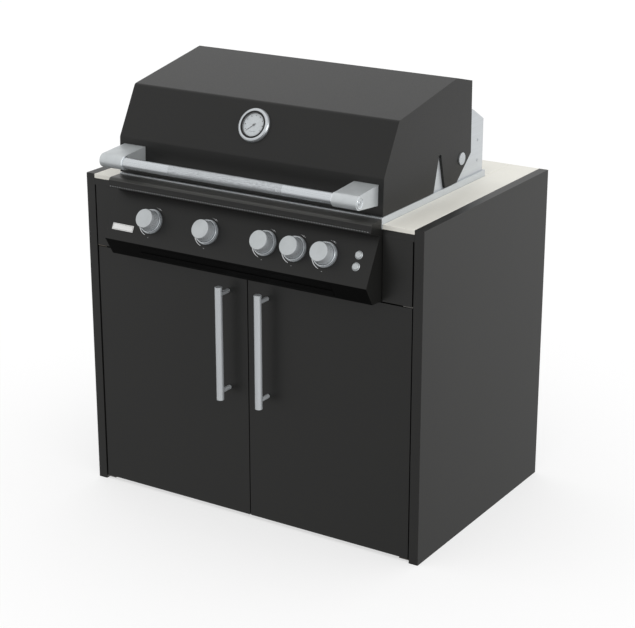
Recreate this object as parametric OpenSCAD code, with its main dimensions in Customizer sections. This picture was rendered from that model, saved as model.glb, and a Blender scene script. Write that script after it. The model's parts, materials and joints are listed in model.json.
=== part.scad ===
// Built-in gas barbecue grill in a two-door outdoor kitchen cabinet.
// Cabinet sizes are measured from the front face of the side panels, the floor and the middle plane.
// +X is to the right, +Y to the back and +Z up.

/* [Cabinet] */
// Overall width of the cabinet
cab_w = 1046; // [980:1:1300]
// Depth of the side panels
cab_d = 692; // [660:1:850]
// Height of the worktop's upper face above the floor
cab_h = 900; // [800:1:1080]
// Thickness of the side panels
side_t = 27; // [18:1:40]
// Thickness of the inner boards
board_t = 18; // [12:1:22]
// Thickness of the back panel
back_t = 12; // [6:1:18]
// Thickness of the stone worktop
stone_t = 12; // [8:1:14]
// Gap between the doors and the side panels
reveal = 4; // [3.5:0.5:6]
// Diameter of the hose opening in the back panel
hose_hole_d = 60; // [40:1:90]

/* [Doors] */
// Thickness of a door
door_t = 19; // [16:1:22]
// How far the doors stand back from the side panels' front face
door_recess = 2; // [0:0.5:4]
// Gap under the doors
door_bottom = 11; // [10.5:0.5:20]
// Gap between the two doors
centre_gap = 3; // [2:0.5:5]
// Height from the worktop's upper face down to the doors' top line
fascia_h = 199.5; // [190:0.5:240]
// Distance of a door's pivot from its outer edge
pivot_inset = 12; // [11:0.5:16]
// Diameter of the door pivot pins
pivot_d = 8; // [6:0.5:8]
// Distance of a door handle from the middle plane
door_handle_x = 61.5; // [40:0.5:120]
// Length of a door handle
door_handle_len = 316; // [200:1:420]
// Diameter of a door handle bar
door_handle_d = 20; // [12:1:24]
// Distance between a door handle's two posts
door_post_pitch = 272; // [160:1:360]
// Diameter of a door handle post
door_post_d = 12; // [8:1:16]
// Distance from the door's face to the handle's axis
door_handle_reach = 44; // [30:1:60]

/* [Grill head] */
// Width of the grill head
head_w = 811; // [760:1:860]
// Height of the steel rim above the worktop
rim_h = 17; // [12:1:24]
// Sheet thickness of the rim, the control panel and the rear hood
sheet_t = 1.5; // [1:0.1:2]
// Depth of the firebox
fire_d = 454; // [430:1:470]
// Height of the firebox
fire_h = 160; // [150:0.5:165]
// Sheet thickness of the firebox
fire_t = 2; // [1.5:0.1:3]
// Diameter of a tube burner
burner_d = 32; // [25:1:38]

/* [Control panel] */
// Depth of the lip above the knobs
lip_d = 45.5; // [30:0.5:60]
// Radius of the bend at the lip's top front edge
lip_r = 12; // [4:0.5:16]
// Tilt of the control face from upright
face_tilt = 28.5; // [15:0.5:35]
// Length of the control face
face_len = 136; // [125:1:142]
// Distance of the knob row from the face's lower edge
knob_row = 65.5; // [60:0.5:72]
// Place of the first knob across the panel
first_knob_x = -270; // [-290:0.5:-250]
// Pitch of the knob row
knob_pitch = 90; // [80:1:95]
// Diameter of a knob where it sinks into its ring
knob_d = 57; // [50:1:66]
// How much narrower a knob is at its face, on each side
knob_taper = 3; // [0:0.25:8]
// How far a knob stands out from the control face
knob_len = 40; // [30:1:48]
// Width of the ring round a knob
bezel_t = 3.5; // [2:0.5:4]
// Diameter of a push button
button_d = 17; // [12:0.5:20]
// Distance between the two push buttons
button_pitch = 30; // [24:1:40]
// Diameter of a valve stem
stem_d = 8; // [6:0.5:9]

/* [Lid] */
// Sheet thickness of the lid
lid_t = 2; // [1:0.1:2.5]
// Radius of the lid's two front bends
lid_r = 11; // [5:0.5:16]
// Diameter of the lid's handle bar
lid_bar_d = 29.5; // [20:0.5:31]
// Width of a handle bracket
bracket_w = 69.5; // [40:0.5:90]
// Distance from the middle plane to a bracket's outer end
bracket_x = 391; // [360:1:398]
// Diameter of the lid's hinge pins
hinge_d = 12; // [8:1:16]
// Outer diameter of the thermometer
gauge_d = 90; // [70:1:110]

/* [Drip tray] */
// Width of the drip tray's front
tray_w = 597; // [450:1:640]
// Height of the drip tray's box
tray_h = 35; // [25:1:36]

/* [Hidden] */
$fn = 64;

// Finishes
coat = [0.19, 0.19, 0.18];
steel = [0.74, 0.76, 0.78];
dark_steel = [0.40, 0.41, 0.42];
iron = [0.12, 0.12, 0.12];
stone = [0.87, 0.85, 0.81];
brass = [0.72, 0.58, 0.30];
black = [0.06, 0.06, 0.06];
ceramic = [0.90, 0.86, 0.78];

// Clearances
run_fit = 0.05;     // radial play of a shaft that turns or slides in its hole
gap = 0.5;          // play between parts that are only fitted together
swing_gap = 1.5;    // play above and below a door
through = 1;        // how far a cutter passes its surface

// Cabinet
half_w = cab_w / 2;
inner_x = half_w - side_t;
door_x = inner_x - reveal;
door_y = door_recess;
door_back = door_y + door_t;
plate_t = 2.5;
door_line = cab_h - fascia_h;
door_top = door_line - plate_t - swing_gap;
base_z = door_bottom - swing_gap;
pivot_x = door_x - pivot_inset;
pivot_y = door_y + door_t / 2;
swing_r = norm([pivot_inset, door_t / 2]);
frame_y = pivot_y + swing_r + 1.2;
back_y = cab_d - back_t;
sub_z = cab_h - stone_t - board_t;
rail_z = door_line - plate_t;
rail_h = 43;

// Grill head
head_x = head_w / 2;
fire_x = head_x - 17.5;
fire_y = 24;
fire_back = fire_y + fire_d;
rim_top = cab_h + rim_h;
rim_y = -3;
rim_back = fire_back + 67;
fire_top = rim_top;
fire_z = fire_top - fire_h;
grate_z = cab_h;
grate_h = 12;
tamer_z = grate_z - 62;
ledge_t = 2;
ledge_d = 14;

// Control panel outline, from the rim down to the doors
face_dir = [sin(face_tilt), cos(face_tilt)];
face_out = [-cos(face_tilt), sin(face_tilt)];
lip_front = rim_y - lip_d;
lip_z = cab_h + 14;
lip_h = 24.5;
lip_rake = 7.5;
face_top = [-11, cab_h - 27];
face_low = face_top - face_len * face_dir;
panel_low = [-45, door_line + 3.1];
panel_end = [1.5, door_line + 0.5];
panel_path = [[rim_y, lip_z], [lip_front, lip_z], [lip_front - lip_rake, lip_z - lip_h], face_top,
    face_low, panel_low, panel_end];
under_dir = (panel_low - face_low) / norm(panel_low - face_low);
under_out = [under_dir[1], -under_dir[0]];

// Knobs, valves and buttons, measured square to the control face
knob_steps = [0, 2, 4, 6, 5];
knob_xs = [for (k = knob_steps) first_knob_x + k * knob_pitch];
burner_xs = [for (i = [0:3]) knob_xs[i]];
rear_knob = 4;
push_travel = 3;
bezel_h = 12;
knob_play = 1;
bezel_d = knob_d + 2 * (knob_play + bezel_t);
knob_base = 4;
knob_edge = 1.2;
knob_face_d = knob_d - 2 * (knob_taper + knob_edge);
plunger_d = stem_d + 6;
plunger_top = -16;
plunger_h = 6;
valve_top = -10;
valve_low = -44;
valve_w = 26;
stem_hole_d = stem_d + 6;
spigot_d = 8;
spigot_len = 10;
manifold_d = 20;
manifold_drop = 27;
manifold_in = -30;
manifold_at = face_low + (knob_row - manifold_drop) * face_dir + manifold_in * face_out;
valve_end = face_low + knob_row * face_dir + valve_low * face_out;
burner_z = valve_end[1];
button_x = head_x - 44;
button_h = 4;
button_stem_d = 6;

// Lid outline from the front lower edge over the top to the rear lip
lid_x = head_x + 0.5;
lid_z = cab_h + 19;
lid_path = [[0.5, lid_z], [4.2, cab_h + 114.5], [75.5, cab_h + 244], [371, cab_h + 297],
    [455, cab_h + 276], [455.5, cab_h + 246]];
lid_side_low = [[458, cab_h + 83], [382, lid_z]];
notch_low = [257, 318];
notch_high = [281, 295];
notch_r = (notch_high[1] - notch_high[0]) / 2;
notch_mid = (notch_high[0] + notch_high[1]) / 2;
notch_z = cab_h + 113 - notch_r;
notch_edge = [[notch_high[1], notch_z], [notch_low[1], lid_z]];
hinge_y = 404.5;
hinge_z = cab_h + 78;
hinge_cap_d = 33;
cheek_x = head_x - 7.5;
liner_gap = 22;
lid_bar_y = -85.5;
lid_bar_z = cab_h + 72.5;
lid_bar_t = 2;
nose_r = lid_bar_d / 2 + 3.75;
origin_y = -(cab_d + lid_bar_y - nose_r) / 2;

// Thermometer on the sloping front of the lid
gauge_dir = (lid_path[2] - lid_path[1]) / norm(lid_path[2] - lid_path[1]);
gauge_tilt = atan2(gauge_dir[0], gauge_dir[1]);
gauge_up = 83;
gauge_h = 11;
lens_d = gauge_d * 0.815;
dial_z = 4;
needle_turn = 132;

// Rear hood
hood_back = fire_back + 63;
hood_front = fire_back;
hood_h = 158;
hood_slope = 30.3;
hood_ridge = cab_h + hood_h + (hood_back - hood_front) * tan(hood_slope);
rear_burner_d = 22;

// Drip tray
tray_top_cut = 8;
tray_low_cut = 5;
tray_z = door_line + 8.5;
tray_back = fire_back - 20;
tray_sheet = 1.2;

// Points of an arc of radius r that rounds the corner at b between a and c
bend_steps = 7;
function bend(a, b, c, r) = let (
    to_a = (a - b) / norm(a - b),
    to_c = (c - b) / norm(c - b),
    half = acos(to_a * to_c) / 2,
    mid = b + (to_a + to_c) / norm(to_a + to_c) * r / sin(half),
    arm = b + to_a * r / tan(half) - mid,
    turn = (to_a[0] * to_c[1] - to_a[1] * to_c[0] > 0 ? -1 : 1) * (180 - 2 * half))
    [for (i = [0:bend_steps]) let (t = turn * i / bend_steps)
        mid + [arm[0] * cos(t) - arm[1] * sin(t), arm[0] * sin(t) + arm[1] * cos(t)]];

// Copy of a path with its corners rounded by the given radii, where 0 leaves a corner sharp
function rounded(path, radii) = [for (i = [0:len(path) - 1])
    for (p = radii[i] > 0 ? bend(path[i - 1], path[i], path[i + 1], radii[i]) : [path[i]]) p];

// Left-hand normal of the line from a to b
function normal2(a, b) = [a[1] - b[1], b[0] - a[0]] / norm(b - a);

// Points of an open path moved to its left by t, with mitred corners
function moved(path, t) = [for (i = [0:len(path) - 1])
    let (last = len(path) - 1,
        before = normal2(path[max(i - 1, 0)], path[max(i, 1)]),
        after = normal2(path[min(i, last - 1)], path[min(i + 1, last)]))
    path[i] + (before + after) * t / (1 + before * after)];

// Closed outline of a sheet that is folded along a path
function folded(path, t) = let (inner = moved(path, t))
    concat(path, [for (i = [len(path) - 1:-1:0]) inner[i]]);

panel_bent = rounded(panel_path, [0, lip_r, 0, 0, 0, 0, 0]);
lid_bent = rounded(lid_path, [0, lid_r, lid_r, 0, 0, 0]);

module placed() translate([0, origin_y, 0]) children();
module block(lo, hi) translate(lo) cube(hi - lo);
module both_sides() { children(); mirror([1, 0, 0]) children(); }
module along_x(x0, x1) translate([x0, 0, 0]) rotate([90, 0, 90]) linear_extrude(x1 - x0) children();
module rod_x(x0, x1, y, z, d) translate([x0, y, z]) rotate([0, 90, 0]) cylinder(h = x1 - x0, d = d);
module rod_y(x, y0, y1, z, d) translate([x, y0, z]) rotate([-90, 0, 0]) cylinder(h = y1 - y0, d = d);
module rod_z(x, y, z0, z1, d) translate([x, y, z0]) cylinder(h = z1 - z0, d = d);

// Local frame on the control face: X across, Y up the face, Z outwards
module on_face(x, s) translate([x, face_low[0] + s * face_dir[0], face_low[1] + s * face_dir[1]])
    rotate([90 - face_tilt, 0, 0]) children();

// Local frame on the sloping front of the lid
module on_gauge() translate([0, lid_path[1][0] + gauge_up * gauge_dir[0],
    lid_path[1][1] + gauge_up * gauge_dir[1]]) rotate([90 - gauge_tilt, 0, 0]) children();

// ---- Cabinet ----
module side_panel() placed() color(coat) block([inner_x, 0, 0], [half_w, cab_d, cab_h]);
module side_panel_right() side_panel();
module side_panel_left() mirror([1, 0, 0]) side_panel();

foot_xs = [-inner_x + 56, inner_x - 56];
foot_ys = [frame_y + 62, back_y - 70];
foot_stem_d = 10;

module base_panel() placed() color(coat) difference() {
    block([-inner_x, frame_y, base_z], [inner_x, back_y, base_z + board_t]);
    for (x = foot_xs, y = foot_ys) rod_z(x, y, base_z - through, base_z + 15, foot_stem_d + 2 * run_fit);
}

module levelling_feet() placed() color(black) for (x = foot_xs, y = foot_ys) {
    rod_z(x, y, 0, base_z - gap, 36);
    rod_z(x, y, base_z - gap, base_z + 14, foot_stem_d);
}

module back_panel() placed() color(coat) difference() {
    block([-inner_x, back_y, base_z], [inner_x, cab_d, cab_h - stone_t]);
    rod_y(inlet_x, back_y - through, cab_d + through, inlet_z, hose_hole_d);
}

feed_x = fire_x - 28;
feed_d = 8;
feed_y = fire_back + rear_burner_d + feed_d / 2;
feed_hole_d = 14;

module sub_top_boards() placed() color(coat) {
    both_sides() block([fire_x + gap, 0, sub_z], [inner_x, back_y, sub_z + board_t]);
    difference() {
        block([-fire_x, fire_back + gap, sub_z], [fire_x, back_y, sub_z + board_t]);
        rod_z(feed_x, feed_y, sub_z - through, sub_z + board_t + through, feed_hole_d);
    }
}

module filler_panel() placed() color(coat)
    block([head_x + 1, 0, door_line], [door_x, board_t, sub_z]);
module filler_panel_right() filler_panel();
module filler_panel_left() mirror([1, 0, 0]) filler_panel();

module door_rail() placed() color(coat)
    block([-inner_x, frame_y, rail_z - rail_h], [inner_x, frame_y + board_t, rail_z]);

module worktop_side() placed() color(stone)
    block([head_x + gap, 0, cab_h - stone_t], [inner_x, cab_d, cab_h]);
module worktop_right() worktop_side();
module worktop_left() mirror([1, 0, 0]) worktop_side();
module worktop_rear() placed() color(stone)
    block([-head_x, rim_back + 1, cab_h - stone_t], [head_x, cab_d, cab_h]);

plate_w = 28;
plate_inset = 2;
pin_len = 12;
shoulder_d = 14;

module pivot_plate(z) block([inner_x - plate_inset - plate_w, door_y + 1, z],
    [inner_x - plate_inset, frame_y + board_t, z + plate_t]);

module door_pivots() placed() color(dark_steel) both_sides() {
    union() {
        pivot_plate(base_z - plate_t);
        rod_z(pivot_x, pivot_y, base_z, door_bottom + pin_len, pivot_d);
        rod_z(pivot_x, pivot_y, base_z, door_bottom - 0.1, shoulder_d);
    }
    union() {
        pivot_plate(rail_z);
        rod_z(pivot_x, pivot_y, door_top - pin_len, rail_z, pivot_d);
    }
}

catch_h = 16;
catch_w = 40;
catch_x = 24;

module magnetic_catches() placed() color(black) both_sides()
    block([catch_x, door_back + 0.3, rail_z - rail_h - catch_h],
        [catch_x + catch_w, frame_y + board_t, rail_z - rail_h]);

// ---- Doors ----
module door_half() placed() color(coat) difference() {
    block([centre_gap / 2, door_y, door_bottom], [door_x, door_back, door_top]);
    rod_z(pivot_x, pivot_y, door_bottom - through, door_bottom + pin_len + 2, pivot_d + 2 * run_fit);
    rod_z(pivot_x, pivot_y, door_top - pin_len - 2, door_top + through, pivot_d + 2 * run_fit);
}
module door_right() door_half();
module door_left() mirror([1, 0, 0]) door_half();

door_handle_top = door_top - 29.5;
door_handle_y = door_y - door_handle_reach;

module door_handle() placed() color(steel) {
    mid = door_handle_top - door_handle_len / 2;
    rod_z(door_handle_x, door_handle_y, mid - door_handle_len / 2, door_handle_top, door_handle_d);
    for (s = [-1, 1]) rod_y(door_handle_x, door_handle_y, door_y, mid + s * door_post_pitch / 2, door_post_d);
}
module door_handle_right() door_handle();
module door_handle_left() mirror([1, 0, 0]) door_handle();

// ---- Firebox and what lies in it ----
fire_in = fire_x - fire_t;
drip_x = tray_w / 2 - 14;

module ledge(z) for (y = [fire_y + fire_t, fire_back - fire_t - ledge_d])
    block([-fire_in, y, z - ledge_t], [fire_in, y + ledge_d, z]);

module firebox() placed() color(dark_steel) {
    difference() {
        block([-fire_x, fire_y, fire_z], [fire_x, fire_back, fire_top]);
        block([-fire_in, fire_y + fire_t, fire_z + fire_t],
            [fire_in, fire_back - fire_t, fire_top + through]);
        block([-drip_x, fire_y + 36, fire_z - through], [drip_x, fire_back - 38, fire_z + 2 * fire_t]);
        for (x = burner_xs) rod_y(x, fire_y - through, fire_y + fire_t + through, burner_z, mouth_d + 1);
    }
    ledge(grate_z);
    ledge(tamer_z);
}

module rim_frame() placed() color(steel) difference() {
    block([-head_x, rim_y, cab_h - stone_t], [head_x, rim_back, rim_top]);
    block([-fire_x, fire_y, cab_h - stone_t - through], [fire_x, fire_back, rim_top + through]);
    block([-head_x + sheet_t, rim_y + sheet_t, cab_h - stone_t + sheet_t],
        [head_x - sheet_t, rim_back - sheet_t, rim_top - sheet_t]);
    rod_z(feed_x, feed_y, cab_h - stone_t - through, rim_top + through, feed_hole_d);
}

mouth_d = 26;
mouth_bore = 21;
burner_y0 = fire_y + 40;
burner_y1 = fire_back - 24;

module tube_burners() placed() color(steel) for (x = burner_xs) difference() {
    union() {
        rod_y(x, fire_y - 5, burner_y0, burner_z, mouth_d);
        rod_y(x, burner_y0, burner_y1, burner_z, burner_d);
        rod_y(x, burner_y1, fire_back - fire_t, burner_z, 8);
    }
    rod_y(x, fire_y - 5 - through, burner_y0 + 30, burner_z, mouth_bore);
}

electrode_y = burner_y0 + 60;

module ignition_electrodes() placed() color(ceramic) for (x = burner_xs) {
    rod_z(x + burner_d / 2 + 6, electrode_y, burner_z - 12, burner_z + 14, 7);
    rod_z(x + burner_d / 2 + 6, electrode_y, burner_z + 14, burner_z + 24, 2);
}

tamer_w = 124;
tamer_h = 34;
tamer_slope = atan2(tamer_h, tamer_w / 2);

module flame_tamers() placed() color(dark_steel) for (x = burner_xs)
    translate([x, fire_back - fire_t - 1, tamer_z + sheet_t * cos(tamer_slope)])
        rotate([90, 0, 0]) linear_extrude(fire_d - 2 * fire_t - 2)
            polygon(folded([[-tamer_w / 2, 0], [0, tamer_h], [tamer_w / 2, 0]], -sheet_t));

grate_n = 4;
grate_gap = 1;
grate_w = 2 * fire_in / grate_n - grate_gap;
bar_w = 8;
bars = 9;

module grate() {
    y0 = fire_y + fire_t + 1;
    y1 = fire_back - fire_t - 1;
    for (i = [0:bars - 1]) translate([i * (grate_w - bar_w) / (bars - 1), y0, grate_z])
        cube([bar_w, y1 - y0, grate_h]);
    for (y = [y0, (y0 + y1 - bar_w) / 2, y1 - bar_w])
        translate([0, y, grate_z]) cube([grate_w, bar_w, grate_h - 3]);
}

module cooking_grates() placed() color(iron) for (i = [0:grate_n - 1])
    translate([-fire_in + grate_gap / 2 + i * (grate_w + grate_gap), 0, 0]) grate();

// ---- Control panel and gas train ----
module control_panel() placed() color(coat) difference() {
    union() {
        along_x(-head_x + sheet_t, head_x - sheet_t) polygon(folded(panel_bent, sheet_t));
        both_sides() along_x(head_x - sheet_t, head_x) polygon(concat(panel_bent,
            [[fire_y, door_line + 2], [fire_y, sub_z - gap], [-gap, sub_z - gap],
            [-gap, cab_h - stone_t - gap], [rim_y, cab_h - stone_t - gap]]));
    }
    for (x = knob_xs) on_face(x, knob_row) cylinder(h = 12, d = stem_hole_d, center = true);
    for (s = [-1, 1]) on_face(button_x, knob_row + s * button_pitch / 2)
        cylinder(h = 12, d = button_d + 2 * 0.4, center = true);
    along_x(-tray_w / 2 - 1, tray_w / 2 + 1) polygon([
        face_low + tray_top_cut * under_dir + 4 * under_out,
        panel_low - tray_low_cut * under_dir + 4 * under_out,
        panel_low - tray_low_cut * under_dir - 4 * under_out,
        face_low + tray_top_cut * under_dir - 4 * under_out]);
}

badge_size = [68, 17.5];

module badge_plate() placed() color(steel) on_face(-head_x + 49, 36)
    translate([-badge_size[0] / 2, -badge_size[1] / 2, 0]) cube([badge_size[0], badge_size[1], 1.5]);

shield_y = fire_y - 10;

module heat_shield() placed() color(dark_steel) difference() {
    block([-fire_x, shield_y, fire_z - 6], [fire_x, shield_y + sheet_t, cab_h - stone_t - 3]);
    for (x = burner_xs) rod_y(x, shield_y - through, shield_y + sheet_t + through, burner_z, spigot_d + 6);
    rod_y(knob_xs[rear_knob], shield_y - through, shield_y + sheet_t + through, feed_z, feed_d + 6);
}

inlet_x = -head_x + 60;
inlet_z = fire_z - 30;
inlet_y = fire_y + 46;
inlet_d = 20.95;

module gas_manifold() placed() color(brass) {
    difference() {
        union() {
            rod_x(inlet_x - 14, knob_xs[3] + 22, manifold_at[0], manifold_at[1], manifold_d);
            rod_z(inlet_x, manifold_at[0], inlet_z, manifold_at[1], 16);
            translate([inlet_x, manifold_at[0], inlet_z]) sphere(d = 16);
            rod_y(inlet_x, manifold_at[0], inlet_y, inlet_z, 16);
            rod_y(inlet_x, inlet_y - 22, inlet_y, inlet_z, inlet_d);
        }
        rod_y(inlet_x, inlet_y - 40, inlet_y + through, inlet_z, 12);
    }
    for (x = knob_xs) on_face(x, knob_row) translate([0, -valve_w / 2, manifold_in])
        rotate([90, 0, 0]) cylinder(h = manifold_drop - valve_w / 2 - manifold_d / 4, d = 14);
}

module valve_body() on_face(0, knob_row) difference() {
    translate([-valve_w / 2, -valve_w / 2, valve_low]) cube([valve_w, valve_w, valve_top - valve_low]);
    translate([0, 0, plunger_top - plunger_h - push_travel - 1])
        cylinder(h = 40, d = plunger_d + 2 * run_fit);
    translate([0, 0, valve_low + 4]) cylinder(h = 40, d = stem_d + 2 * run_fit);
}

module valve_bodies() placed() color(brass) for (i = [0:len(knob_xs) - 1]) translate([knob_xs[i], 0, 0]) {
    difference() {
        union() {
            valve_body();
            rod_y(0, valve_end[0], i == rear_knob ? valve_end[0] + spigot_len : fire_y + 2,
                burner_z, spigot_d);
        }
        if (i != rear_knob) rod_y(0, fire_y - 4, fire_y + 2 + through, burner_z, 2);
    }
}

module knob_bezels() placed() color(steel) for (x = knob_xs) on_face(x, knob_row) rotate_extrude($fn = 72)
    polygon([[bezel_d / 2 - bezel_t, 0], [bezel_d / 2, 0], [bezel_d / 2, bezel_h / 2],
        [bezel_d / 2 - bezel_t / 4, bezel_h / 2], [bezel_d / 2 - bezel_t / 4, bezel_h - bezel_t / 4],
        [bezel_d / 2 - bezel_t / 2, bezel_h], [bezel_d / 2 - bezel_t, bezel_h]]);

// Knob and the valve stem that is pressed into it
module knob_at(i) placed() color(steel) on_face(knob_xs[i], knob_row) {
    rotate_extrude($fn = 72) polygon([[stem_d / 2, knob_base], [knob_d / 2, knob_base],
        [knob_face_d / 2 + knob_edge, knob_len - 1.5 * knob_edge], [knob_face_d / 2 + 0.6 * knob_edge,
        knob_len - 0.4 * knob_edge], [knob_face_d / 2, knob_len], [0, knob_len], [0, knob_len - 14],
        [stem_d / 2, knob_len - 14]]);
    translate([0, 0, valve_low + 4 + push_travel + 1])
        cylinder(h = knob_len - 14 - valve_low - 4 - push_travel - 1, d = stem_d);
    translate([0, 0, plunger_top + 0.1]) cylinder(h = 3, d = stem_d + 3);
}
module knob_1() knob_at(0);
module knob_2() knob_at(1);
module knob_3() knob_at(2);
module knob_4() knob_at(3);
module knob_rear() knob_at(rear_knob);

// Spring-loaded collar under a stem's shoulder, which a pressed knob drives into its valve
module plunger_at(i) placed() color(brass) on_face(knob_xs[i], knob_row)
    translate([0, 0, plunger_top - plunger_h]) difference() {
        cylinder(h = plunger_h, d = plunger_d);
        translate([0, 0, -through]) cylinder(h = plunger_h + 2 * through, d = stem_d + 2 * run_fit);
    }
module valve_plunger_1() plunger_at(0);
module valve_plunger_2() plunger_at(1);
module valve_plunger_3() plunger_at(2);
module valve_plunger_4() plunger_at(3);
module valve_plunger_rear() plunger_at(rear_knob);

switch_top = -14;
switch_low = -44;
switch_w = 34;

module switch_block() placed() color(black) on_face(button_x, knob_row) difference() {
    translate([-switch_w / 2, -button_pitch / 2 - 13, switch_low])
        cube([switch_w, button_pitch + 26, switch_top - switch_low]);
    for (s = [-1, 1]) translate([0, s * button_pitch / 2, switch_top - 22])
        cylinder(h = 40, d = button_stem_d + 2 * run_fit);
}

module button(s) placed() color(steel) on_face(button_x, knob_row + s * button_pitch / 2) {
    rotate_extrude() polygon([[0, -3], [button_d / 2, -3], [button_d / 2, button_h - 1],
        [button_d / 2 - 1, button_h], [0, button_h]]);
    translate([0, 0, switch_top - 16]) cylinder(h = -3 - switch_top + 16, d = button_stem_d);
}
module ignition_button() button(1);
module light_button() button(-1);

// ---- Drip tray ----
tray_in = tray_w / 2 - 1.5;
runner_t = 1.5;
front_a = face_low + (tray_top_cut + 1) * under_dir;
front_b = panel_low - (tray_low_cut + 1) * under_dir;
tray_bite = 0.5;     // how far the box and the lip run into the sloping front
tray_lip = 31;       // distance of the finger lip from the control face's lower edge

// Y at a height, just inside the tray's sloping front
function tray_front_y(z) = front_b[0] - (sheet_t - tray_bite) * under_out[0]
    + (z - front_b[1] + (sheet_t - tray_bite) * under_out[1]) * under_dir[0] / under_dir[1];

// Side view of the tray's box, made smaller by t at the floor and the back and open at the top
function tray_side(t, z1) = [[tray_front_y(tray_z + t), tray_z + t], [tray_back - t, tray_z + t],
    [tray_back - t, z1], [tray_front_y(z1), z1]];

module tray_runners() placed() color(steel) both_sides() {
    x0 = tray_w / 2 + 1.5;
    block([x0, fire_y + 4, tray_z - runner_t - gap], [x0 + runner_t, tray_back + 14, fire_z]);
    block([x0 - 14, fire_y + 4, tray_z - runner_t - gap], [x0, tray_back + 14, tray_z - gap]);
}

module drip_tray() placed() color(dark_steel) {
    along_x(-tray_w / 2, tray_w / 2) polygon([front_a, front_b, front_b - sheet_t * under_out,
        front_a - sheet_t * under_out]);
    lip = face_low + tray_lip * under_dir;
    along_x(-tray_w / 2, tray_w / 2) polygon([lip - tray_bite * under_out, lip + 2 * under_out,
        lip + 2 * under_out + 1.2 * under_dir, lip - tray_bite * under_out + 1.2 * under_dir]);
    difference() {
        along_x(-tray_in, tray_in) polygon(tray_side(0, tray_z + tray_h));
        along_x(-tray_in + tray_sheet, tray_in - tray_sheet)
            polygon(tray_side(tray_sheet, tray_z + tray_h + through));
    }
}

// ---- Rear hood ----
cheek_low = rim_top;
cheek = [[hood_back, cheek_low], [hood_back, cab_h + hood_h], [hood_front, hood_ridge],
    [fire_back - 48, hood_ridge + 12], [250, cab_h + 140], [150, cheek_low]];
cheek_t = 2;

module hood_cheeks() placed() color(steel) both_sides() difference() {
    along_x(cheek_x - cheek_t, cheek_x) polygon(cheek);
    rod_x(cheek_x - cheek_t - through, cheek_x + through, hinge_y, hinge_z, hinge_d);
}

hood_in = cheek_x - cheek_t;
window_x = 250;
window_z = [cab_h + 52, cab_h + 148];
hood_path = [[hood_back, rim_top], [hood_back, cab_h + hood_h], [hood_front, hood_ridge],
    [hood_front, rim_top]];

module rear_housing() placed() color(steel) difference() {
    along_x(-hood_in, hood_in) polygon(folded(hood_path, sheet_t));
    block([-window_x, hood_front - through, window_z[0]],
        [window_x, hood_front + sheet_t + through, window_z[1]]);
}

module rear_burner() placed() color(ceramic) {
    block([-window_x - 8, hood_front + sheet_t, window_z[0] - 8],
        [window_x + 8, hood_front + rear_burner_d, window_z[1] + 8]);
}

feed_z = fire_z + 8;
feed_side_x = head_x - 11;
feed_start_y = (shield_y + sheet_t + fire_y) / 2;

module rear_supply_pipe() placed() color(brass) {
    x0 = knob_xs[rear_knob];
    drop_y = valve_end[0] + spigot_len + feed_d / 2;
    rod_y(x0, valve_end[0] + spigot_len, drop_y, burner_z, feed_d);
    rod_z(x0, drop_y, feed_z, burner_z, feed_d);
    for (z = [feed_z, burner_z]) translate([x0, drop_y, z]) sphere(d = feed_d);
    rod_y(x0, drop_y, feed_start_y, feed_z, feed_d);
    rod_x(x0, feed_side_x, feed_start_y, feed_z, feed_d);
    rod_y(feed_side_x, feed_start_y, feed_y, feed_z, feed_d);
    rod_x(feed_x, feed_side_x, feed_y, feed_z, feed_d);
    rod_z(feed_x, feed_y, feed_z, window_z[0] + 20, feed_d);
    for (p = [[x0, feed_start_y], [feed_side_x, feed_start_y], [feed_side_x, feed_y], [feed_x, feed_y]])
        translate([p[0], p[1], feed_z]) sphere(d = feed_d);
}

rack_z = cab_h + 145;
rack_ys = [for (y = [fire_back - 138:20:fire_back - 36]) y];

module warming_rack() placed() color(steel) {
    for (y = rack_ys) rod_x(-hood_in, hood_in, y, rack_z, 5);
    for (x = [-fire_x + 60, 0, fire_x - 60]) rod_y(x, rack_ys[0], rack_ys[len(rack_ys) - 1], rack_z - 4.5, 5);
}

module lid_pivot_pins() placed() color(steel) both_sides() {
    rod_x(cheek_x - cheek_t - 4, lid_x + 0.3, hinge_y, hinge_z, hinge_d);
    rod_x(lid_x + 0.3, lid_x + 3.3, hinge_y, hinge_z, hinge_cap_d);
}

module housing_screws() placed() color(steel) both_sides()
    for (z = [cab_h + 50, cab_h + 105]) rod_x(cheek_x, cheek_x + 1.6, hood_back - 30, z, 7);

// ---- Lid ----
module notch() {
    polygon([[notch_low[0], lid_z - through], [notch_low[1], lid_z - through],
        [notch_high[1], notch_z], [notch_high[0], notch_z]]);
    translate([notch_mid, notch_z]) circle(r = notch_r);
}

module lid_shell() placed() color(coat) {
    difference() {
        union() {
            along_x(-lid_x, lid_x) polygon(folded(lid_bent, -lid_t));
            both_sides() along_x(lid_x - lid_t, lid_x) polygon(concat(lid_bent, lid_side_low));
        }
        both_sides() along_x(lid_x - lid_t - through, lid_x + through) notch();
        both_sides() rod_x(lid_x - lid_t - through, lid_x + through, hinge_y, hinge_z, hinge_d + 2 * run_fit);
        on_gauge() cylinder(h = 20, d = lens_d - 14, center = true);
    }
    both_sides() along_x(cheek_x + 1, lid_x - lid_t) polygon(folded(notch_edge, lid_t));
}

liner_path = concat([[lid_path[0][0] + lid_t + gap, lid_z + 5]],
    [for (p = moved([[0.6, lid_z + 5], lid_path[1], lid_path[2], lid_path[3],
        [455, cab_h + 276]], -liner_gap)) p], [[453.3, cab_h + 250]]);

module lid_liner() placed() color(steel) difference() {
    along_x(-hood_in + 4, hood_in - 4) polygon(folded(liner_path, -1));
    on_gauge() translate([0, 0, -liner_gap - 4]) cylinder(h = 8, d = 12);
}

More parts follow.
